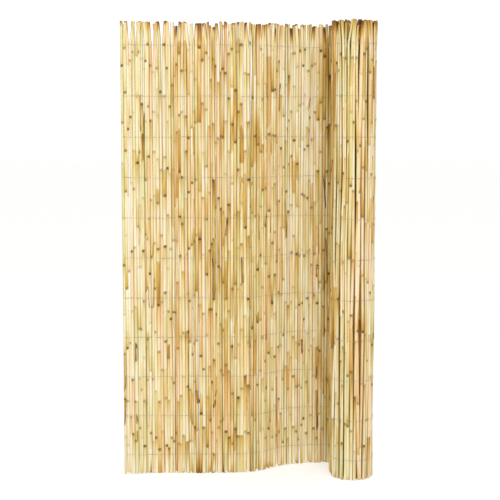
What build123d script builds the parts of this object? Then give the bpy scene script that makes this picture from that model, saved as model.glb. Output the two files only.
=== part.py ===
from build123d import *
import math
import os
import random

# Reed screen, 1.5 m high, standing on the ends of its reeds with its right end still rolled up.
# The mat is one wall: six-sided reeds lie on its two faces by turns, pressed into the ones beside them.
# Eleven level rows of wire bind it. Each row has two strands, which swap faces through gaps in the mat.
# Millimetres and degrees, +Z up, front towards -Y, origin on the floor under the middle of the outline.

# The reeds
reed_length = 1500.0
reed_thickness = 10.0
thickness_spread = 1.8
thinnest_reed = 6.6
reed_press = 0.5
mat_thickness = 12.0
same_face_share = 0.15
tip_unevenness = 8.0
short_reed_share = 0.25
foot_unevenness = 7.0
reed_seed = 7

# The open panel seen from above, from its left end: each stretch has a length and turns anticlockwise by so much
first_heading = 9.0
left_bow_length = 210.0
left_bow_turn = -11.0
middle_bow_length = 190.0
middle_bow_turn = 9.0
bend_back_length = 80.0
bend_back_turn = 33.0
bend_length = 40.0
bend_right_length = 60.0
bend_right_turn = -22.0
far_bow_length = 215.0
far_bow_turn = -30.0

# The roll: each half turn is tighter than the last, and straight flanks make it a little oval
roll_half_width = 66.0
roll_flank = 45.0
roll_half_turns = 5
turn_gap = 1.6

# The binding wire
wire_rows = 11
lowest_row = 66.0
top_row_drop = 78.0
top_row_extra = 33.0
wire_size = 1.0
strand_gap = 0.4
wire_seat = 0.2
wire_bend = 30.0
first_wire_end = 6.0
lower_wire_short = 40.0
tie_gap_width = 2.4
tie_gap_height = 50.0
first_tie = 35.0
tie_spacing = 143.0
tie_stagger = 70.0
panel_ties = 5

# Worked out from the sizes above
turn_pitch = mat_thickness + turn_gap
row_spacing = (reed_length - top_row_drop - top_row_extra - lowest_row) / (wire_rows - 1)


def panel_stretches():
    """Length and turn of each stretch of the open panel, left to right."""
    return [
        (left_bow_length, left_bow_turn),
        (middle_bow_length, middle_bow_turn),
        (bend_back_length, bend_back_turn),
        (bend_length, 0.0),
        (bend_right_length, bend_right_turn),
        (far_bow_length, far_bow_turn),
    ]


def roll_stretches():
    """From the back of the roll round into its right flank, then half turns joined by flanks, inwards."""
    radius = roll_half_width + turn_pitch / 2
    heading = first_heading + sum(turn for _, turn in panel_stretches())
    stretches = [(radius * math.radians(heading + 90.0), -(heading + 90.0))]
    for _ in range(roll_half_turns):
        radius -= turn_pitch / 2
        stretches.append((roll_flank, 0.0))
        stretches.append((math.pi * radius, -180.0))
    return stretches


plan = panel_stretches() + roll_stretches()
panel_length = sum(length for length, _ in panel_stretches())
mat_length = sum(length for length, _ in plan)


def along(distance):
    """Place and heading, in radians, of the mat's middle line so far from its left end."""
    place, heading = Vector(0, 0, 0), math.radians(first_heading)
    for length, turn in plan:
        step = min(distance, length)
        swing = math.radians(turn) * step / length
        chord = step * math.sin(swing / 2) / (swing / 2) if swing else step
        middle = heading + swing / 2
        place += Vector(chord * math.cos(middle), chord * math.sin(middle), 0)
        heading += swing
        distance -= step
        if distance <= 0:
            break
    return place, heading


def beside(distance, offset):
    """The point so far along the mat and so far behind its middle line."""
    place, heading = along(distance)
    return place + Vector(-math.sin(heading), math.cos(heading), 0) * offset


def reed_places():
    """Distance along the mat, offset behind its middle line and thickness of every reed.

    Reeds lie on the front and back face by turns, with a few twice on one face. Each is pushed along
    until it meets one of the last three, and is pressed a little into it."""
    uneven = random.Random(reed_seed)
    places, face = [], -1
    while True:
        thickness = min(max(uneven.gauss(reed_thickness, thickness_spread), thinnest_reed), mat_thickness)
        offset = face * (mat_thickness - thickness) / 2
        distance = places[-1][0] if places else thickness / 2
        for near_distance, near_offset, near_thickness in places[-3:]:
            reach = (thickness + near_thickness) / 2 - reed_press
            apart = offset - near_offset
            if reach > abs(apart):
                distance = max(distance, near_distance + math.sqrt(reach ** 2 - apart ** 2))
        if distance > mat_length - thickness / 2:
            return places
        places.append((distance, offset, thickness))
        face = face if uneven.random() < same_face_share else -face


def seam(left, right):
    """How far along the mat two reeds that lie next to each other meet."""
    return left[0] + (right[0] - left[0]) * left[2] / (left[2] + right[2])


reeds = reed_places()
seams = [seam(left, right) for left, right in zip(reeds, reeds[1:])]


def reed(distance, offset, thickness, foot, tip):
    """One reed with six sides, two of them level with the faces of the mat."""
    place, heading = beside(distance, offset), along(distance)[1]
    section = RegularPolygon(thickness / 2, 6, major_radius=False)
    return Pos(place.X, place.Y, foot) * Rot(0, 0, math.degrees(heading)) * extrude(section, tip - foot)


def row_height(row):
    """Rows are evenly spaced, but the top one stands a little further off."""
    extra = top_row_extra if row == wire_rows - 1 else 0.0
    return lowest_row + row * row_spacing + extra


def tie_distances(row):
    """Where the strands of a row swap faces: in the nearest seams between reeds, staggered from row to row."""
    wanted = [first_tie + tie_stagger * (row % 2) + tie_spacing * tie for tie in range(panel_ties)]
    return [min(seams, key=lambda place: abs(place - distance)) for distance in wanted]


def tie_gap(distance, height):
    """The gap between two reeds that both strands of a row pass through."""
    place, heading = along(distance)
    gap = Box(tie_gap_width, 2 * mat_thickness, tie_gap_height)
    return Pos(place.X, place.Y, height) * Rot(0, 0, math.degrees(heading)) * gap


def reed_mat():
    """All reeds, panel and roll. Tips are uneven, and a few feet of the panel, while the roll stands flush."""
    uneven = random.Random(reed_seed)
    canes = []
    for distance, offset, thickness in reeds:
        tip = reed_length - abs(uneven.gauss(0, tip_unevenness))
        short = uneven.random() < short_reed_share and distance < panel_length
        foot = foot_unevenness * uneven.random() if short else 0.0
        canes.append(reed(distance, offset, thickness, foot, tip))
    gaps = [tie_gap(distance, row_height(row)) for row in range(wire_rows) for distance in tie_distances(row)]
    return canes[0].fuse(*canes[1:]) - gaps


def bend_distances(last):
    """Where a strand may bend: the ends of each stretch, and even steps in a stretch that turns further."""
    distances, start = [], 0.0
    for length, turn in plan:
        steps = max(1, math.ceil(abs(turn) / wire_bend))
        distances += [start + length * (step + 1) / steps for step in range(steps)]
        start += length
    return [distance for distance in distances if distance < last - wire_size]


def strand_route(row, last_face, last):
    """Points of one strand seen from above. It lies on the reeds, swaps at ties and ends on the last face (1 back)."""
    ties = tie_distances(row)
    face = last_face * (-1) ** len(ties)
    stops = [(first_wire_end, face)]
    for distance in sorted(bend_distances(last) + ties):
        stops.append((distance, face))
        if distance in ties:
            face = -face
            stops.append((distance, face))
    stops.append((last, face))
    seat = mat_thickness / 2 + wire_seat + wire_size / 2
    lifts = [0.0] * len(stops)  # on a face that bulges, the straight runs only touch it at their middles
    for i in range(len(stops) - 1):
        (start, face), (end, next_face) = stops[i], stops[i + 1]
        swing = along(end)[1] - along(start)[1]
        if face == next_face and face * swing < 0:
            radius = (end - start) / abs(swing) + seat
            lift = radius / math.cos(swing / 2) - radius
            lifts[i] = max(lifts[i], lift)
            lifts[i + 1] = max(lifts[i + 1], lift)
    return [beside(distance, face * (seat + lift)) for (distance, face), lift in zip(stops, lifts)]


def strand_outline(route):
    """The route widened to the wire's size, with mitred corners."""
    left, right = [], []
    for i, point in enumerate(route):
        before = (point - route[i - 1]).normalized() if i else (route[1] - point).normalized()
        after = (route[i + 1] - point).normalized() if i < len(route) - 1 else before
        across = Vector(-before.Y - after.Y, before.X + after.X, 0)
        mitre = across * (wire_size / (across.length ** 2))
        left.append(point + mitre)
        right.append(point - mitre)
    return make_face(Polyline(*left, *reversed(right), close=True))


def wires():
    """Both strands of every row: the upper goes on round the roll, and the lower ends just short of it."""
    round_roll = sum(length for length, _ in plan[: len(panel_stretches()) + 4])
    lower_end = panel_length - lower_wire_short
    strands = {}
    for row in range(wire_rows):
        upper = extrude(strand_outline(strand_route(row, 1, round_roll)), wire_size)
        lower = extrude(strand_outline(strand_route(row, -1, lower_end)), wire_size)
        name = f"row_{row + 1:02d}"
        strands[name + "_upper_wire"] = Pos(0, 0, row_height(row) + strand_gap / 2) * upper
        strands[name + "_lower_wire"] = Pos(0, 0, row_height(row) - strand_gap / 2 - wire_size) * lower
    return strands


def main():
    parts = {"reed_mat": reed_mat(), **wires()}
    outline = Compound(list(parts.values())).bounding_box()
    to_origin = Pos(-outline.center().X, -outline.center().Y, 0)
    os.makedirs("parts", exist_ok=True)
    for name, part in parts.items():
        export_step(to_origin * part, f"parts/{name}.step")
    print("outline", outline.size, "mat length", round(mat_length), "reeds", len(reeds))


main()
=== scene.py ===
import math
import random

import bpy
import numpy as np
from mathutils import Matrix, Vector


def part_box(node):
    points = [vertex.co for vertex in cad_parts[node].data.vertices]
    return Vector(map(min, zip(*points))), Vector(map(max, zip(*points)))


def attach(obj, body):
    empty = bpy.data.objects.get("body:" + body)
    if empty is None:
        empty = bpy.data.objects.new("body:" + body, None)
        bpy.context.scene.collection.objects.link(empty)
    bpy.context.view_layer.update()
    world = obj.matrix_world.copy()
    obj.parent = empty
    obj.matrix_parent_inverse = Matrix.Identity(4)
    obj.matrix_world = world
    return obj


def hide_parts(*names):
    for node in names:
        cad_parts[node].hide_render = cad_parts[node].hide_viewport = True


# Reed screen: peeled reeds bound with wire, its right end still rolled up.
# Metres, in the frame of the CAD part.
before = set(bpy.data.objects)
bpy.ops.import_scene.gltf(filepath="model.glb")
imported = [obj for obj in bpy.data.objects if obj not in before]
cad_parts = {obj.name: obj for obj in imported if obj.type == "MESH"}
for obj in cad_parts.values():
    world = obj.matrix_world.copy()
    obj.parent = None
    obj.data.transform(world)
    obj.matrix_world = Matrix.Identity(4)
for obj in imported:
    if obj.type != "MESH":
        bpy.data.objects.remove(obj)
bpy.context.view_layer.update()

# The mat from above: each stretch of its middle line has a length and turns anticlockwise by so many degrees
FIRST_HEADING = 9.0
PANEL_STRETCHES = [(0.210, -11), (0.190, 9), (0.080, 33), (0.040, 0), (0.060, -22), (0.215, -30)]
ROLL_HALF_WIDTH = 0.066
ROLL_FLANK = 0.045
ROLL_HALF_TURNS = 5
TURN_PITCH = 0.0136
MAT_THICKNESS = 0.012
LINE_STEP = 0.001

# The reeds, which lie where those of the CAD mat do
REED_LENGTH = 1.5
REED_THICKNESS = 0.010
THICKNESS_SPREAD = 0.0018
THINNEST_REED = 0.0066
REED_PRESS = 0.0005
SAME_FACE_SHARE = 0.15
TIP_UNEVENNESS = 0.008
SHORT_REED_SHARE = 0.25
FOOT_UNEVENNESS = 0.007
REED_SEED = 7

# The form of one reed. Its bore, taper and swellings are shares of its radius
REED_SIDES = 12
REED_TAPER = 0.24
BORE = 0.62
RECESS = 0.028
CUT_LENGTH = 0.018
INTERNODE = 0.195
JOINT_COUNTS = (6, 7, 8, 9)
JOINT_RINGS = [(-0.007, 1.0), (-0.002, 1.09), (0.002, 1.07), (0.006, 1.0)]
SHEATH_EDGE = 0.0015
SHEATH_SWELL = 1.05
SMOOTH_ANGLE = 50
TOUCH = 1e-5

# Joints and old leaf sheaths, by chance. Pairs are a lowest and a highest value
GROWTH_SEED = 11
ROOT_UP_SHARE = 0.5
INTERNODE_SHARES = (0.75, 1.25)
CUT_INTERNODE_SHARES = (0.45, 1.0)
SHEATHED_SHARE = 0.35
SHEATH_START = 0.020
SHEATH_CLEAR = 0.045
SHEATH_REACH = (0.25, 1.0)
TEAR_DEPTH = 0.012
TEAR_TURN = 9
TEAR_ROOM = (0.008, 0.026)
STAIN_LENGTHS = (0.008, 0.075)
STAIN_CLEAR = 0.012
STAIN_GAP = 0.004
CUT_SLOPE = 0.7

# How full the reeds are in each part, and how far they sway along the mat, nod out of it and splay
BENDS = 7
PANEL_STANCE = {"fullness": 1.03, "sway": 0.0010, "nod": 0.0004, "splay": 0.060}
CORNER_STANCE = {"fullness": 1.10, "sway": 0.0004, "nod": 0.0004, "splay": 0.025}
ROLL_STANCE = {"fullness": 0.94, "sway": 0.0032, "nod": 0.0012, "splay": 0.100}
FOOT_SPLAY_SHARE = 0.25
TIP_NOD = 0.02
FOLD_LEAN = -0.05
FOLD_LEAN_REACH = (0.55, 0.80)

# Tones, from 0 for cream to 1 for brown: a mean and a spread, or for stains a lowest and a highest value
BASE_TONE = (0.265, 0.03)
YOUNG_PALER = (0.11, 0.09)
OLD_DARKER = (0.05, 0.14)
SHEATH_DARKER = (0.13, 0.11)
AGEING = 0.8
TIP_STAIN = (0.3, 0.8)
TIP_STAIN_SHARE = 0.6
CLEAN_TIP = 0.12
FOOT_STAIN = (0.15, 0.5)
FOOT_STAIN_SHARE = 0.3
CLEAN_FOOT = 0.05
FREE_TIP_TONE = 0.12

# The scar and the brown halo of each joint, strongest on the side of its bud
SCARS = (0.3, 0.6, 0.95)
SCAR_SPREAD = (0.8, 1.1)
SCAR_REACH = 0.003
HALO_REACH = 0.0075
HALO_TONE = 0.25
BUD_SPREAD = 0.35
BUD_BACK = 0.15

# A reed's tint, from -1 for green to 1 for pink, how it changes along the reed, and the painted shade and dust
# on its flanks where it meets its neighbours
REED_TINT = 0.7
TINT_SPREAD = 0.6
SEAM_SHADE_AND_DUST = (0.3, 0.5, 0.8, 1.5)

# Places along the mat, as distances from its left end, that are painted paler, browner or more even than the
# rest: painted light and painted shade
# Painted light: the open left edge is painted paler and more even, and its seam shade lighter, as if the light
# fell most there
LEFT_PAINTED_LIGHT = -0.115
LEFT_PAINTED_LIGHT_REACH = 0.30
LEFT_LIT_CONTRAST = 0.6
LEFT_LIT_CONTRAST_REACH = 0.24
LEFT_SEAM_SHADE_AND_DUST = 0.5
LEFT_SEAM_SHADE_AND_DUST_REACH = 0.20
# Painted light: the fold, which turns away from the light, is painted paler to lift its shade
FOLD_PAINTED_LIGHT = -0.11
FOLD = (0.45, 0.60)
# Painted shade: deep in the corner between panel and roll, strongest near the top
CORNER_PAINTED_SHADE = 0.40
CORNER = (0.672, 0.722)
CORNER_TOP = (0.9, 1.4)
# Painted light: the roll's outer turn is painted paler to lift the shade on its right flank
ROLL_PAINTED_LIGHT = -0.07
# Painted shade on the roll's left flank, where it faces the corner
LEFT_FLANK_PAINTED_SHADE = 0.16
LEFT_FLANK = (1.12, 1.20)
# Painted shade inside the roll, on its inner turns
INNER_TURNS_PAINTED_SHADE = 0.25
OUTER_TURN = 0.45

# Torn strips of old leaf sheath that still cling to the reeds. Widths are shares of the way round
SHEATH_STRIPS = 130
STRIP_SEED = 5
STRIP_SIDES = 6
STRIP_ROWS = 9
STRIP_THICKNESS = 0.0003
STRIPS_START = 0.62
STRIPS_CROWDING = 3
STRIP_CLEAR = 0.01
STRIP_LIFT = 0.002
STRIP_LENGTHS = (0.25, 0.95)
STRIP_WIDTHS = (0.15, 0.55)
STRIP_TIP_WIDTH = 0.03
STRIP_TURN = 0.5
STRIP_SWELL = 1.18
STRIP_CURL = 0.004
STRIP_RIPPLE = 0.0006
STRIP_RIPPLE_TURN = 9
STRIP_TONE = (0.60, 0.14)
STRIP_TIP_TONE = 0.10

# The binding wire
WIRE_ROWS = 11
LOWEST_ROW = 0.066
TOP_ROW = 1.422
TOP_ROW_EXTRA = 0.033
ROW_SPACING = (TOP_ROW - TOP_ROW_EXTRA - LOWEST_ROW) / (WIRE_ROWS - 1)
WIRE_RADIUS = 0.00055
WIRE_SEAT = 0.0002
WIRE_SAG = 0.0005
WIRE_WAVES = 90
STRAND_GAP = 0.0004
WIRE_STEP = 0.004
SWAP_REACH = 0.005
SWAP_STEP = 0.0025
FIRST_WIRE_END = 0.006
LOWER_WIRE_SHORT = 0.040
PANEL_TIES = 5
FIRST_TIE = 0.035
TIE_STAGGER = 0.070
TIE_SPACING = 0.143
STRETCHES_ROUND_ROLL = 4

# Patterns, with the size of their spots in millimetres, across and along a reed as its fibres run.
# Real fibre lines are finer, and are drawn as coarse as they need to be to show
STREAK_SIZE = (1.923, 200)
BLOTCH_SIZE = (8.333, 71.43)
FIBRE_LINE_SIZE = (0.9091, 90.91)
RUST_SPOT_SIZE = 22.22
STREAK_DEPTH = 0.42
BLOTCH_DEPTH = 0.34
FIBRE_LINE_DEPTH = 0.26
SEAM_SHADE_AND_DUST_DEPTH = 0.65
TINT_DEPTH = 0.8
SKIN_ROUGHNESS = 0.42
SHEATH_ROUGHER = 0.2
SCAR_ROUGHER = 0.55
REED_PATTERN_STEP = 10
STRIP_PATTERN_STEP = 7

# The studio: softboxes have a place, a target, a width and a power in watts
FLOOR_SIZE = 60
FLOOR_GLOW = 0.53
ROOM_GLOW = 0.12
CEILING_GLOW = 1.12
SEEN_GLOW = 1.1
SOFTBOXES = {
    "left_softbox": ((-1.4, -3.0, 1.6), (-0.1, 0, 0.8), 1.4, 22),
    "right_softbox": ((1.2, -3.2, 1.9), (0.2, 0, 0.8), 1.4, 28),
    "overhead": ((0, -0.6, 3.6), (0, -0.6, 0), 3.0, 20),
}
CAMERA_PLACE = (0.0035, -3.6, 1.17)
CAMERA_TILT = 5.25
CAMERA_LENS = 78.7
CAMERA_SENSOR = 36
CAMERA_SHIFT = -0.053


def linear(hex_colour):
    """An sRGB hex colour as the linear RGBA that a shader socket takes."""
    channels = [int(hex_colour[i:i + 2], 16) / 255 for i in (1, 3, 5)]
    return [c / 12.92 if c <= 0.04045 else ((c + 0.055) / 1.055) ** 2.4 for c in channels] + [1.0]


def rise(value, start, end):
    """0 up to the start, 1 from the end on, and in even proportion between them."""
    return np.clip((value - start) / (end - start), 0, 1)


def select(things):
    """Selects these objects and nothing else, and makes the first one active."""
    bpy.ops.object.select_all(action="DESELECT")
    for thing in things:
        thing.select_set(True)
    bpy.context.view_layer.objects.active = things[0]


def roll_stretches():
    """The mat goes round into the roll's right flank, then by half turns and flanks, each turn tighter."""
    radius = ROLL_HALF_WIDTH + TURN_PITCH / 2
    turn = 90 + FIRST_HEADING + sum(turn for _, turn in PANEL_STRETCHES)
    stretches = [(radius * math.radians(turn), -turn)]
    for _ in range(ROLL_HALF_TURNS):
        radius -= TURN_PITCH / 2
        stretches += [(ROLL_FLANK, 0), (math.pi * radius, -180)]
    return stretches


class MiddleLine:
    """The line midway between the mat's two faces, seen from above."""

    def __init__(self):
        self.panel_length = sum(length for length, _ in PANEL_STRETCHES)
        heading = math.radians(FIRST_HEADING)
        distances, points, headings = [0.0], [np.zeros(2)], [heading]
        for length, turn in PANEL_STRETCHES + roll_stretches():
            steps = round(length / LINE_STEP)
            for _ in range(steps):
                middle = heading + math.radians(turn) / steps / 2
                points.append(points[-1] + length / steps * np.array([math.cos(middle), math.sin(middle)]))
                distances.append(distances[-1] + length / steps)
                heading += math.radians(turn) / steps
                headings.append(heading)
        self.distances, self.points, self.headings = np.array(distances), np.array(points), np.array(headings)
        self.length = distances[-1]
        across = np.stack([-np.sin(self.headings), np.cos(self.headings)], 1) * MAT_THICKNESS / 2
        faces = np.concatenate([self.points + across, self.points - across])
        self.points += np.array(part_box("reed_mat")[0][:2]) - faces.min(0)

    def place(self, distance, behind):
        """Points so far along the line and so far behind it."""
        x = np.interp(distance, self.distances, self.points[:, 0])
        y = np.interp(distance, self.distances, self.points[:, 1])
        heading = np.interp(distance, self.distances, self.headings)
        return np.stack([x - np.sin(heading) * behind, y + np.cos(heading) * behind], -1)


def ring_heights(joints, sheath_tops, cuts, tip):
    """Heights of a reed's rings: two at each end, four at each joint and two where its sheath ends."""
    heights = [0.0, cuts[0]]
    for joint, top in zip(joints, sheath_tops):
        heights += [joint + ring for ring, _ in JOINT_RINGS] + [top, top + SHEATH_EDGE]
    return heights + [tip - cuts[1], tip]


def model_culm(joint_count):
    """A reed of unit radius with evenly spaced joints: a disc pushed on ring by ring, hollow at both ends."""
    joints = [INTERNODE * (number + 1) for number in range(joint_count)]
    tip = INTERNODE * (joint_count + 1)
    sheath_tops = [joint + INTERNODE / 2 for joint in joints]
    heights = ring_heights(joints, sheath_tops, (CUT_LENGTH, CUT_LENGTH), tip)
    joint_swelling = [swelling for _, swelling in JOINT_RINGS] + [1.0, 1.0]
    swellings = [1.0, 1.0] + joint_swelling * joint_count + [1.0, 1.0]
    steps = [(0.0, BORE)] + list(zip(heights, swellings)) + [(tip, BORE), (tip - RECESS, BORE)]
    bpy.ops.object.select_all(action="DESELECT")
    bpy.ops.mesh.primitive_circle_add(
        vertices=REED_SIDES, radius=BORE, fill_type="NGON", location=(0, 0, RECESS))
    culm = bpy.context.object
    bpy.ops.object.transform_apply(location=True)
    bpy.ops.object.mode_set(mode="EDIT")
    bpy.ops.mesh.select_all(action="SELECT")
    height, radius = RECESS, BORE
    for next_height, next_radius in steps:
        bpy.ops.mesh.extrude_region_move(TRANSFORM_OT_translate={"value": (0, 0, next_height - height)})
        bpy.ops.transform.resize(value=(next_radius / radius, next_radius / radius, 1))
        height, radius = next_height, next_radius
    bpy.ops.mesh.select_all(action="SELECT")
    bpy.ops.mesh.normals_make_consistent(inside=False)
    bpy.ops.object.mode_set(mode="OBJECT")
    bpy.ops.object.shade_smooth_by_angle(angle=math.radians(SMOOTH_ANGLE))
    creased = [ring % len(joint_swelling) not in (1, 2) for ring in range(len(heights) - 4)]
    sharpen(culm, [height for height, crease in zip(heights[2:-2], creased) if crease])
    culm.name = f"reed_with_{joint_count}_joints"
    return culm, heights


def sharpen(culm, creases):
    """Marks the rings at these heights sharp: those of the sheaths, and the first and last of each joint."""
    for edge in culm.data.edges:
        start, end = [culm.data.vertices[vertex].co.z for vertex in edge.vertices]
        if abs(start - end) < TOUCH and min(abs(start - height) for height in creases) < TOUCH:
            edge.use_edge_sharp = True


class Reed:
    """One reed: its place in the mat, as in the CAD part, and how it grew, was cut and dried, by chance."""

    def __init__(self, distance, behind, thickness):
        self.distance, self.behind, self.radius = distance, behind, thickness / 2
        self.rolled = distance > line.panel_length
        self.stance = ROLL_STANCE if self.rolled else CORNER_STANCE if distance > CORNER[0] else PANEL_STANCE

    def grow(self, chance):
        """Joints, the old leaf sheaths above them, and the colours of both."""
        self.root_up = chance.random() < ROOT_UP_SHARE
        self.joint_count = chance.choice(JOINT_COUNTS)
        count = self.joint_count + 1
        shares = [chance.uniform(*INTERNODE_SHARES) for _ in range(count)]
        shares[0] *= chance.uniform(*CUT_INTERNODE_SHARES)
        shares[-1] *= chance.uniform(*CUT_INTERNODE_SHARES)
        ends = np.cumsum(shares) / sum(shares) * (self.tip - self.foot)
        self.joints = list(ends[:-1])
        rooms = [max(0.0, room - SHEATH_CLEAR) for room in np.diff(ends)]
        self.sheath_tops = [joint + SHEATH_START + room * chance.uniform(*SHEATH_REACH)
                            for joint, room in zip(self.joints, rooms)]
        base = chance.gauss(*BASE_TONE) + self.place_painted_light_and_shade()
        # Painted light near the open left edge: the tones are painted more even there
        contrast = LEFT_LIT_CONTRAST + (1 - LEFT_LIT_CONTRAST) * rise(self.distance, 0, LEFT_LIT_CONTRAST_REACH)
        self.young_tones = [base - abs(chance.gauss(*YOUNG_PALER)) for _ in range(count)]
        self.old_tones = [base + contrast * abs(chance.gauss(*OLD_DARKER)) for _ in range(count)]
        self.stain_ends(chance, ends)
        self.sheath_tones = [base + contrast * chance.gauss(*SHEATH_DARKER) for _ in range(count)]
        self.sheathed = [chance.random() < SHEATHED_SHARE for _ in range(count)]
        self.scars = [chance.choice(SCARS) * chance.uniform(*SCAR_SPREAD) for _ in range(self.joint_count)]
        self.tint = chance.uniform(-REED_TINT, REED_TINT)
        self.tints = [max(-1.0, min(1.0, self.tint + chance.gauss(0, TINT_SPREAD))) for _ in range(count)]
        # Painted shade in the seams between reeds, with dust that varies from reed to reed, painted lighter
        # near the lit left edge
        seam_shade_and_dust_share = LEFT_SEAM_SHADE_AND_DUST + (1 - LEFT_SEAM_SHADE_AND_DUST) * rise(self.distance, 0, LEFT_SEAM_SHADE_AND_DUST_REACH)
        self.seam_shade_and_dust = chance.choice(SEAM_SHADE_AND_DUST) * seam_shade_and_dust_share
        self.bud_side = chance.gauss(math.pi / 2, BUD_SPREAD)
        self.turned = chance.uniform(0, 2 * math.pi)

    def stain_ends(self, chance, ends):
        """Stains from both cuts inwards, mostly at the upper one. The last sheath ends clear of them."""
        foot = chance.uniform(*FOOT_STAIN) if chance.random() < FOOT_STAIN_SHARE else CLEAN_FOOT
        tip = chance.uniform(*TIP_STAIN) if chance.random() < TIP_STAIN_SHARE else CLEAN_TIP
        self.stains = [tip, foot] if self.root_up else [foot, tip]
        rooms = (ends[0], ends[-1] - ends[-2])
        self.stain_lengths = [min(chance.uniform(*STAIN_LENGTHS), room - STAIN_CLEAR) for room in rooms]
        self.sheath_tops[-1] = min(self.sheath_tops[-1], ends[-1] - self.stain_lengths[1] - STAIN_GAP)

    def place_painted_light_and_shade(self):
        """Painted light and shade along the screen: painted light makes it palest at its open left edge and
        paler in the fold and on the roll's outer turn, and painted shade makes it brownest inside the roll and
        on the roll's left flank.
        """
        if self.distance > line.panel_length + OUTER_TURN:
            return INNER_TURNS_PAINTED_SHADE
        if self.rolled:
            return LEFT_FLANK_PAINTED_SHADE if LEFT_FLANK[0] < self.distance < LEFT_FLANK[1] else ROLL_PAINTED_LIGHT
        return LEFT_PAINTED_LIGHT * (1 - rise(self.distance, 0, LEFT_PAINTED_LIGHT_REACH)) + FOLD_PAINTED_LIGHT * rise(self.distance, *FOLD)

    def corner_painted_shade(self, height):
        """Painted shade deep in the corner between panel and roll, brown and strongest near the top."""
        deep = 0.0 if self.rolled else rise(self.distance, *CORNER)
        return CORNER_PAINTED_SHADE * deep * (1 + rise(height, *CORNER_TOP)) / 2

    def lean(self, chance):
        """Small bends between the wires, free tips and feet that splay, and slanting cuts."""
        self.sway = [chance.gauss(0, self.stance["sway"]) for _ in range(BENDS)]
        self.nod = [chance.gauss(0, self.stance["nod"]) for _ in range(BENDS)]
        in_fold = 0.0 if self.rolled else rise(self.distance, *FOLD_LEAN_REACH)
        self.tip_lean = chance.gauss(FOLD_LEAN * in_fold, self.stance["splay"])
        self.foot_lean = chance.gauss(0, self.stance["splay"] * FOOT_SPLAY_SHARE)
        self.tip_nod = chance.gauss(0, TIP_NOD)
        self.cuts = [(chance.uniform(0, CUT_SLOPE), chance.uniform(0, 2 * math.pi)) for _ in range(2)]

    def bends(self, height):
        """How far the reed sways along the mat and nods out of it at these heights."""
        stops = np.linspace(0, REED_LENGTH, BENDS)
        return np.interp(height, stops, self.sway), np.interp(height, stops, self.nod)

    def place(self, sideways, backwards, height):
        """Places at these heights, so far beside and behind the reed's own line."""
        plan = line.place(np.clip(self.distance + sideways, 0, line.length), self.behind + backwards)
        return np.column_stack([plan, height])


def lay_reeds():
    """The reeds in the places that the CAD part gives them, with its tips and feet."""
    uneven = random.Random(REED_SEED)
    places, face = [], -1
    while True:
        thickness = min(max(uneven.gauss(REED_THICKNESS, THICKNESS_SPREAD), THINNEST_REED), MAT_THICKNESS)
        behind = face * (MAT_THICKNESS - thickness) / 2
        distance = places[-1][0] if places else thickness / 2
        for near_distance, near_behind, near_thickness in places[-3:]:
            reach, apart = (thickness + near_thickness) / 2 - REED_PRESS, behind - near_behind
            if reach > abs(apart):
                distance = max(distance, near_distance + math.sqrt(reach ** 2 - apart ** 2))
        if distance > line.length - thickness / 2:
            break
        places.append((distance, behind, thickness))
        face = face if uneven.random() < SAME_FACE_SHARE else -face
    reeds = [Reed(*place) for place in places]
    uneven, chance = random.Random(REED_SEED), random.Random(GROWTH_SEED)
    for reed in reeds:
        reed.tip = REED_LENGTH - abs(uneven.gauss(0, TIP_UNEVENNESS))
        short = uneven.random() < SHORT_REED_SHARE and not reed.rolled
        reed.foot = FOOT_UNEVENNESS * uneven.random() if short else 0.0
        reed.grow(chance)
        reed.lean(chance)
    return reeds


def copy_of(master):
    """A copy of the master's mesh, and the places of its points."""
    mesh = master.data.copy()
    local = np.empty(len(mesh.vertices) * 3)
    mesh.vertices.foreach_get("co", local)
    return mesh, local.reshape(-1, 3)


def finish_copy(mesh, places, grain, values):
    """Moves the points of the mesh to their places, and gives them what the material reads."""
    mesh.vertices.foreach_set("co", places.ravel())
    for name, value in values.items():
        mesh.attributes.new(name, "FLOAT", "POINT").data.foreach_set("value", value.astype(np.float32))
    grains = mesh.attributes.new("grain", "FLOAT_VECTOR", "POINT").data
    grains.foreach_set("vector", grain.astype(np.float32).ravel())
    thing = bpy.data.objects.new("copy", mesh)
    bpy.context.scene.collection.objects.link(thing)
    return thing


def join_as(name, things, material):
    """These things as one piece of one material."""
    select(things)
    bpy.ops.object.join()
    piece = bpy.context.object
    piece.name = name
    piece.data.name = name
    piece.data.materials.clear()
    piece.data.materials.append(material)
    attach(piece, "root")
    return piece


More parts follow.
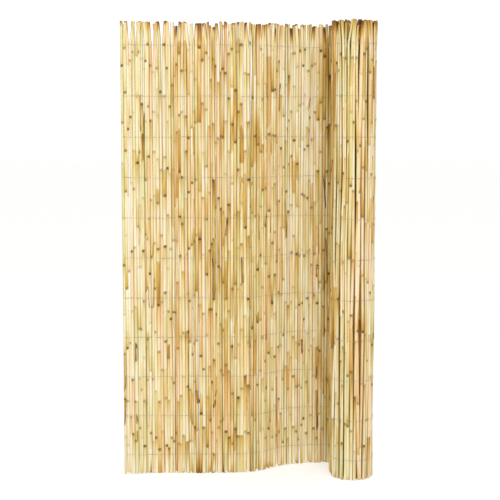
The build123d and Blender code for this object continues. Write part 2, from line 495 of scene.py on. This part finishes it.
class ReedPoints:
    """The points of one reed: how far from its root end, on which side, in which internode and end."""

    def __init__(self, reed, local, culm_heights):
        rest = local[:, 2]
        self.length = reed.tip - reed.foot
        heights = ring_heights(reed.joints, reed.sheath_tops, reed.stain_lengths, self.length)
        self.along = np.interp(rest, culm_heights, heights)
        self.across = np.hypot(local[:, 0], local[:, 1])
        self.angle = np.arctan2(local[:, 1], local[:, 0]) + reed.turned
        self.inside = self.across < (1 + BORE) / 2
        self.at_cut = (rest < TOUCH) | (rest > rest.max() - TOUCH)
        self.end = (self.along > self.length / 2).astype(int)
        self.internode = np.searchsorted(reed.joints, self.along)
        self.below = np.array([0.0] + reed.joints)[self.internode]
        self.above = np.array(reed.joints + [self.length])[self.internode]
        self.sheath_top = np.array([0.0] + reed.sheath_tops)[self.internode]
        sheathed = np.array([False] + reed.sheathed[:-1])[self.internode]
        self.sheathed = sheathed & (self.along < self.sheath_top + SHEATH_EDGE / 2)

    def shape(self, reed):
        """The points' places, once sheaths are torn, ends cut, and the reed bent and stood in the mat."""
        swell = np.where(self.sheathed & ~self.inside, SHEATH_SWELL, 1.0)
        taper = 1 - REED_TAPER * (self.along / self.length - 0.5)
        radius = reed.radius * reed.stance["fullness"] * swell * taper
        x = self.across * radius * np.cos(self.angle)
        y = self.across * radius * np.sin(self.angle)
        tear = TEAR_DEPTH * (np.sin(self.angle + reed.tint * TEAR_TURN) + np.sin(3 * self.angle) / 2)
        tear *= rise(self.sheath_top - self.below, *TEAR_ROOM)
        at_edge = self.sheathed & (np.abs(self.along - self.sheath_top) < SHEATH_EDGE / 2)
        slope, facing = np.array(reed.cuts)[self.end].T
        slant = slope * (x * np.cos(facing) + y * np.sin(facing) - radius)
        slant = np.where(self.end == 1, slant, -slant)
        self.along = self.along + np.where(at_edge, tear, 0) + np.where(self.at_cut, slant, 0)
        self.height = reed.tip - self.along if reed.root_up else reed.foot + self.along
        sway, nod = reed.bends(self.height)
        free_tip = np.maximum(0, self.height - TOP_ROW)
        free_foot = np.maximum(0, LOWEST_ROW - self.height)
        sway += reed.tip_lean * free_tip - reed.foot_lean * free_foot
        nod += reed.tip_nod * free_tip
        return reed.place(sway + x, nod - y if reed.root_up else nod + y, self.height)

    def colour(self, reed):
        """What the material reads at each point. Each internode darkens upwards from its joint."""
        age = rise(self.along, self.below, self.above) ** AGEING
        young, old = np.array(reed.young_tones)[self.internode], np.array(reed.old_tones)[self.internode]
        sheath = np.array(reed.sheath_tones)[self.internode]
        tone = np.where(self.sheathed, sheath, (1 - age) * young + age * old)
        tone = tone + np.where(self.at_cut, np.array(reed.stains)[self.end], 0)
        # Painted shade deep in the corner between panel and roll
        tone = tone + FREE_TIP_TONE * rise(self.height, TOP_ROW, REED_LENGTH) + reed.corner_painted_shade(self.height)
        joint_gaps = np.abs(self.along[:, None] - np.array(reed.joints))
        nearest_scar, gap = np.array(reed.scars)[joint_gaps.argmin(1)], joint_gaps.min(1)
        bud = BUD_BACK + (1 - BUD_BACK) * np.cos(self.angle - reed.bud_side) ** 2
        halo = np.where((gap < HALO_REACH) & ~self.inside, nearest_scar, 0.0)
        return {
            "tone": tone + HALO_TONE * halo * bud,
            "scar": np.where(gap < SCAR_REACH, nearest_scar, 0.0) * bud,
            "sheath": self.sheathed,
            "inside": self.inside,
            "tint": np.array(reed.tints)[self.internode],
            # Painted shade on the flanks where reeds meet, with dust that varies from reed to reed
            "flank": np.cos(self.angle) ** 2 * reed.seam_shade_and_dust,
        }


def stand(reed, culm, culm_heights):
    """A copy of the culm, stretched to this reed's joints, bent, coloured and stood in its place."""
    mesh, local = copy_of(culm)
    points = ReedPoints(reed, local, culm_heights)
    places = points.shape(reed)
    own_pattern = np.full(len(local), reed.distance * REED_PATTERN_STEP)
    grain = np.column_stack([points.angle * reed.radius, own_pattern, points.along])
    return finish_copy(mesh, places, grain, points.colour(reed))


def stand_reeds(name, reeds, culms, material):
    """These reeds as one piece, which stands for the mat's ridges there."""
    piece = join_as(name, [stand(reed, *culms[reed.joint_count]) for reed in reeds], material)
    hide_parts("reed_mat")


def model_strip():
    """A strip of unit radius and length: the back half of a tube, in rows from its root to its tip."""
    bpy.ops.object.select_all(action="DESELECT")
    bpy.ops.mesh.primitive_circle_add(vertices=2 * STRIP_SIDES, radius=1)
    strip = bpy.context.object
    bpy.ops.object.mode_set(mode="EDIT")
    bpy.ops.mesh.select_all(action="DESELECT")
    bpy.ops.object.mode_set(mode="OBJECT")
    for vertex in strip.data.vertices:
        vertex.select = vertex.co.y > TOUCH
    bpy.ops.object.mode_set(mode="EDIT")
    bpy.ops.mesh.delete(type="VERT")
    bpy.ops.mesh.select_all(action="SELECT")
    for _ in range(STRIP_ROWS):
        bpy.ops.mesh.extrude_region_move(TRANSFORM_OT_translate={"value": (0, 0, 1 / STRIP_ROWS)})
    bpy.ops.object.mode_set(mode="OBJECT")
    bpy.ops.object.shade_smooth()
    strip.name = "sheath_strip"
    return strip


def cling(reed, strip, chance):
    """A copy of the strip, wrapped round a reed from a joint on, and curling off to a narrow tip."""
    mesh, local = copy_of(strip)
    share = local[:, 2]
    number = chance.randrange(reed.joint_count - 1)
    joint, next_joint = reed.joints[number], reed.joints[number + 1]
    length = (next_joint - joint - STRIP_CLEAR) * chance.uniform(*STRIP_LENGTHS)
    width = chance.uniform(*STRIP_WIDTHS) * (1 - share) ** 0.5 + STRIP_TIP_WIDTH
    facing = chance.gauss(0, STRIP_TURN)
    twist = chance.gauss(0, STRIP_TURN) * share
    angle = (np.arctan2(local[:, 1], local[:, 0]) + math.pi / 2) * width + facing + twist - math.pi / 2
    away = reed.radius * STRIP_SWELL + chance.uniform(0, STRIP_CURL) * share ** 3
    away += STRIP_RIPPLE * np.sin(share * STRIP_RIPPLE_TURN + facing)
    along = joint + STRIP_LIFT + share * length
    height = reed.tip - along if reed.root_up else reed.foot + along
    sway, nod = reed.bends(height)
    places = reed.place(sway + away * np.cos(angle), nod + away * np.sin(angle), height)
    even = np.ones(len(local))
    grain = np.column_stack([angle * reed.radius, even * reed.distance * STRIP_PATTERN_STEP, along])
    tone = chance.gauss(*STRIP_TONE) + STRIP_TIP_TONE * share
    values = {"tone": tone, "scar": 0 * even, "sheath": even, "inside": 0 * even, "tint": reed.tint * even,
              "flank": 0 * even}
    return finish_copy(mesh, places, grain, values)


def old_sheaths(reeds, material):
    """Torn strips of leaf sheath, most of them in the corner and on the roll, as thin shells in one piece."""
    chance = random.Random(STRIP_SEED)
    master = model_strip()
    front = [reed for reed in reeds if reed.behind < 0 and reed.distance < line.panel_length + OUTER_TURN]
    crowding = [1 + STRIPS_CROWDING * (reed.distance > STRIPS_START) for reed in front]
    strips = [cling(reed, master, chance) for reed in chance.choices(front, crowding, k=SHEATH_STRIPS)]
    bpy.data.objects.remove(master)
    piece = join_as("old_sheath_strips", strips, material)
    wall = piece.modifiers.new("wall", "SOLIDIFY")
    wall.thickness = STRIP_THICKNESS
    wall.offset = 1
    bpy.ops.object.modifier_apply(modifier="wall")


def add_node(material, kind, settings=None, **links):
    """Adds a node, sets its properties, and links or fills its inputs, with _ for each space in a name."""
    node = material.node_tree.nodes.new(kind)
    for key, value in (settings or {}).items():
        setattr(node, key, value)
    for key, value in links.items():
        socket = node.inputs[int(key[1:])] if key[1:].isdigit() else node.inputs[key.replace("_", " ")]
        if isinstance(value, bpy.types.NodeSocket):
            material.node_tree.links.new(value, socket)
        else:
            socket.default_value = value
    return node


def new_material(name):
    material = bpy.data.materials.new(name)
    material.use_nodes = True
    material.node_tree.nodes.clear()
    return material


def drawn_out_noise(material, size, step, detail):
    """Noise with spots of a size in millimetres, across and along a reed. Each reed is a step apart."""
    across, along = size
    grain = add_node(material, "ShaderNodeAttribute", {"attribute_name": "grain"}).outputs["Vector"]
    scale = (1000 / across, step, 1000 / along)
    space = add_node(material, "ShaderNodeVectorMath", {"operation": "MULTIPLY"}, _0=grain, _1=scale)
    noise = add_node(material, "ShaderNodeTexNoise", {}, Vector=space.outputs[0], Scale=1.0, Detail=detail)
    return noise.outputs["Fac"]


def reed_tone(m, tone, streaks):
    """The tone at each point: that of the reed, with soft blotches, streaks and dark fibre lines."""
    blotches = drawn_out_noise(m, BLOTCH_SIZE, 7.0, 2.0)
    fibres = drawn_out_noise(m, FIBRE_LINE_SIZE, 3.0, 1.0)
    shift = add_node(m, "ShaderNodeMath", {"operation": "MULTIPLY_ADD"}, _0=blotches, _1=BLOTCH_DEPTH,
                     _2=-BLOTCH_DEPTH / 2)
    shifted = add_node(m, "ShaderNodeMath", {"operation": "ADD"}, _0=tone, _1=shift.outputs[0])
    fine = add_node(m, "ShaderNodeMath", {"operation": "MULTIPLY_ADD"}, _0=streaks, _1=STREAK_DEPTH,
                    _2=-STREAK_DEPTH / 2)
    lines = add_node(m, "ShaderNodeMapRange", {}, Value=fibres, From_Min=0.56, From_Max=0.70,
                     To_Max=FIBRE_LINE_DEPTH)
    lined = add_node(m, "ShaderNodeMath", {"operation": "ADD"}, _0=fine.outputs[0], _1=lines.outputs[0])
    marked = add_node(m, "ShaderNodeMath", {"operation": "ADD"}, _0=shifted.outputs[0], _1=lined.outputs[0])
    return marked.outputs[0]


def reed_colour(m, tone, values):
    """The tone as a colour, tinted pink or green, with painted shade and dust on the flanks where reeds meet,
    brown at scars and in the bore.
    """
    ramp = add_node(m, "ShaderNodeValToRGB", {}, Fac=tone)
    stops = [(0.0, "#F8F2DA"), (0.16, "#F3E8C4"), (0.34, "#EBD9A1"), (0.52, "#DBBB6C"), (0.70, "#C4983F"),
             (0.86, "#986A2A"), (1.0, "#603C14")]
    for place, _ in stops[2:]:
        ramp.color_ramp.elements.new(place)
    for element, (place, colour) in zip(ramp.color_ramp.elements, stops):
        element.position = place
        element.color = linear(colour)
    tint = values["tint"]
    pink = add_node(m, "ShaderNodeMapRange", {}, Value=tint, From_Min=0.2, From_Max=1.0, To_Max=TINT_DEPTH)
    green = add_node(m, "ShaderNodeMapRange", {}, Value=tint, From_Min=-0.2, From_Max=-1.0, To_Max=TINT_DEPTH)
    seam_shade_and_dust = add_node(m, "ShaderNodeMath", {"operation": "MULTIPLY"}, _0=values["flank"], _1=SEAM_SHADE_AND_DUST_DEPTH)
    layers = [
        ("MULTIPLY", pink.outputs[0], "#FFE6DC"),
        ("MULTIPLY", green.outputs[0], "#EEF3DA"),
        # Painted shade and dust in the seams between reeds
        ("MULTIPLY", seam_shade_and_dust.outputs[0], "#AE8E58"),
        ("MIX", values["scar"], "#56340C"),
        ("MIX", values["inside"], "#8A6534"),
    ]
    colour = ramp.outputs[0]
    for blend, share, layer in layers:
        mix = add_node(m, "ShaderNodeMix", {"data_type": "RGBA", "blend_type": blend}, _0=share, _6=colour,
                       _7=linear(layer))
        colour = mix.outputs[2]
    return colour


def peeled_reed():
    """Dry peeled reed: a hard, waxy straw skin with a soft shine, and brown scars at the joints."""
    m = new_material("dry peeled reed")
    values = {}
    for name in ("tone", "tint", "flank", "scar", "inside", "sheath"):
        values[name] = add_node(m, "ShaderNodeAttribute", {"attribute_name": name}).outputs["Fac"]
    streaks = drawn_out_noise(m, STREAK_SIZE, 1.0, 3.0)
    colour = reed_colour(m, reed_tone(m, values["tone"], streaks), values)
    dull = add_node(m, "ShaderNodeMath", {"operation": "MULTIPLY_ADD"}, _0=values["sheath"], _1=SHEATH_ROUGHER,
                    _2=SKIN_ROUGHNESS)
    rough = add_node(m, "ShaderNodeMath", {"operation": "MULTIPLY_ADD"}, _0=values["scar"], _1=SCAR_ROUGHER,
                     _2=dull.outputs[0])
    bump = add_node(m, "ShaderNodeBump", {}, Height=streaks, Strength=0.35, Distance=0.0004)
    skin = add_node(m, "ShaderNodeBsdfPrincipled", {}, Base_Color=colour, Roughness=rough.outputs[0],
                    Normal=bump.outputs[0], IOR=1.5, Specular_IOR_Level=0.35)
    add_node(m, "ShaderNodeOutputMaterial", {}, Surface=skin.outputs[0])
    return m


def galvanised_wire():
    """Thin galvanised steel wire: dull grey zinc, stained brown by rust where the zinc has gone."""
    m = new_material("galvanised steel wire")
    place = add_node(m, "ShaderNodeTexCoord").outputs["Object"]
    spots = add_node(m, "ShaderNodeTexNoise", {}, Vector=place, Scale=1000 / RUST_SPOT_SIZE, Detail=2.0)
    rust = add_node(m, "ShaderNodeMapRange", {}, Value=spots.outputs["Fac"], From_Min=0.48, From_Max=0.62)
    colour = add_node(m, "ShaderNodeMix", {"data_type": "RGBA"}, _0=rust.outputs[0], _6=linear("#BFB49C"),
                      _7=linear("#94704A"))
    rough = add_node(m, "ShaderNodeMapRange", {}, Value=rust.outputs[0], To_Min=0.42, To_Max=0.85)
    zinc = add_node(m, "ShaderNodeMapRange", {}, Value=rust.outputs[0], To_Min=0.35, To_Max=0.05)
    skin = add_node(m, "ShaderNodeBsdfPrincipled", {}, Base_Color=colour.outputs[2],
                    Roughness=rough.outputs[0], Metallic=zinc.outputs[0])
    add_node(m, "ShaderNodeOutputMaterial", {}, Surface=skin.outputs[0])
    return m


def seams(reeds):
    """How far along the mat neighbouring reeds meet."""
    pairs = zip(reeds, reeds[1:])
    return [a.distance + (b.distance - a.distance) * a.radius / (a.radius + b.radius) for a, b in pairs]


def tie_distances(row, seam_places):
    """Where the strands of a row swap faces: in seams between reeds, staggered from row to row."""
    wanted = [FIRST_TIE + TIE_STAGGER * (row % 2) + TIE_SPACING * tie for tie in range(PANEL_TIES)]
    return [min(seam_places, key=lambda place: abs(place - distance)) for distance in wanted]


def strand(name, row, ties, last_face, last, height, material):
    """One strand of a row's wire. It swaps faces at the ties and ends on last_face, 1 for the back."""
    swaps = [tie + step for tie in ties for step in (-SWAP_STEP, 0, SWAP_STEP)]
    distances = np.sort(np.concatenate([np.arange(FIRST_WIRE_END, last, WIRE_STEP), swaps]))
    face = np.full(len(distances), float(last_face * (-1) ** PANEL_TIES))
    for tie in ties:
        face *= np.interp(distances, [tie - SWAP_REACH, tie + SWAP_REACH], [1, -1])
    seat = MAT_THICKNESS / 2 + WIRE_SEAT + WIRE_RADIUS
    plan = line.place(distances, face * seat)
    sag = WIRE_SAG * np.sin(distances * WIRE_WAVES + row)
    curve = bpy.data.curves.new(name, "CURVE")
    curve.dimensions = "3D"
    curve.bevel_depth = WIRE_RADIUS
    curve.bevel_resolution = 1
    curve.use_fill_caps = True
    spline = curve.splines.new("POLY")
    spline.points.add(len(distances) - 1)
    spline.points.foreach_set("co", np.column_stack([plan, height + sag, np.ones(len(plan))]).ravel())
    piece = bpy.data.objects.new(name, curve)
    bpy.context.scene.collection.objects.link(piece)
    select([piece])
    bpy.ops.object.convert(target="MESH")
    piece = bpy.context.object
    bpy.ops.object.shade_smooth()
    piece.data.materials.append(material)
    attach(piece, "root")
    return piece


def wires(reeds):
    """Both strands of every row: the upper goes on round the roll, and the lower ends just short of it."""
    material = galvanised_wire()
    seam_places = seams(reeds)
    round_roll = line.panel_length + sum(length for length, _ in roll_stretches()[:STRETCHES_ROUND_ROLL])
    lower_end = line.panel_length - LOWER_WIRE_SHORT
    apart = STRAND_GAP / 2 + WIRE_RADIUS
    for row in range(WIRE_ROWS):
        height = LOWEST_ROW + row * ROW_SPACING + (TOP_ROW_EXTRA if row == WIRE_ROWS - 1 else 0.0)
        ties = tie_distances(row, seam_places)
        strands = [("upper", 1, round_roll, apart), ("lower", -1, lower_end, -apart)]
        for side, last_face, last, shift in strands:
            name = f"row_{row + 1:02d}_{side}"
            piece = strand(f"{name}_strand", row, ties, last_face, last, height + shift, material)
            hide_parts(f"{name}_wire")


def plain_floor():
    """Matt white studio floor."""
    m = new_material("matt white floor")
    paint = add_node(m, "ShaderNodeBsdfPrincipled", {}, Base_Color=linear("#C8C8C6"), Roughness=0.9,
                     Emission_Color=(1, 1, 1, 1), Emission_Strength=FLOOR_GLOW)
    add_node(m, "ShaderNodeOutputMaterial", {}, Surface=paint.outputs[0])
    bpy.ops.object.select_all(action="DESELECT")
    bpy.ops.mesh.primitive_plane_add(size=FLOOR_SIZE)
    floor = bpy.context.object
    floor.name = "studio_floor"
    floor.data.materials.append(m)


def soft_light(name, place, target, size, power):
    """A square softbox that faces its target."""
    bpy.ops.object.light_add(type="AREA", location=place)
    light = bpy.context.object
    light.name = name
    light.data.size = size
    light.data.energy = power
    aim = np.array(target) - np.array(place)
    tilt = math.atan2(math.hypot(aim[0], aim[1]), -aim[2])
    light.rotation_euler = (tilt, 0, math.atan2(aim[1], aim[0]) - math.pi / 2)


def studio():
    """A room that is dimmer at eye level than overhead but looks plain white, and its softboxes."""
    world = bpy.data.worlds.new("white studio")
    bpy.context.scene.world = world
    world.use_nodes = True
    room = world.node_tree.nodes["Background"]
    room.inputs["Color"].default_value = (1, 1, 1, 1)
    direction = add_node(world, "ShaderNodeTexCoord")
    height = add_node(world, "ShaderNodeSeparateXYZ", {}, Vector=direction.outputs["Generated"])
    glow = add_node(world, "ShaderNodeMapRange", {}, Value=height.outputs["Z"], To_Min=ROOM_GLOW,
                    To_Max=CEILING_GLOW)
    ray = add_node(world, "ShaderNodeLightPath")
    seen = add_node(world, "ShaderNodeMix", {"data_type": "FLOAT"}, _0=ray.outputs["Is Camera Ray"],
                    _2=glow.outputs["Result"], _3=SEEN_GLOW)
    world.node_tree.links.new(seen.outputs[0], room.inputs["Strength"])
    for name, softbox in SOFTBOXES.items():
        soft_light(name, *softbox)
    bpy.context.scene.view_settings.view_transform = "Standard"


def photo_camera():
    bpy.ops.object.camera_add(location=CAMERA_PLACE, rotation=(math.radians(90 - CAMERA_TILT), 0, 0))
    camera = bpy.context.object
    camera.data.lens = CAMERA_LENS
    camera.data.sensor_width = CAMERA_SENSOR
    camera.data.shift_y = CAMERA_SHIFT
    bpy.context.scene.camera = camera


photo_camera()
studio()
plain_floor()
line = MiddleLine()
culms = {count: model_culm(count) for count in JOINT_COUNTS}
reeds = lay_reeds()
reed_skin = peeled_reed()
stand_reeds("panel_reeds", [reed for reed in reeds if not reed.rolled], culms, reed_skin)
stand_reeds("roll_reeds", [reed for reed in reeds if reed.rolled], culms, reed_skin)
old_sheaths(reeds, reed_skin)
wires(reeds)
for culm, _ in culms.values():
    bpy.data.objects.remove(culm)
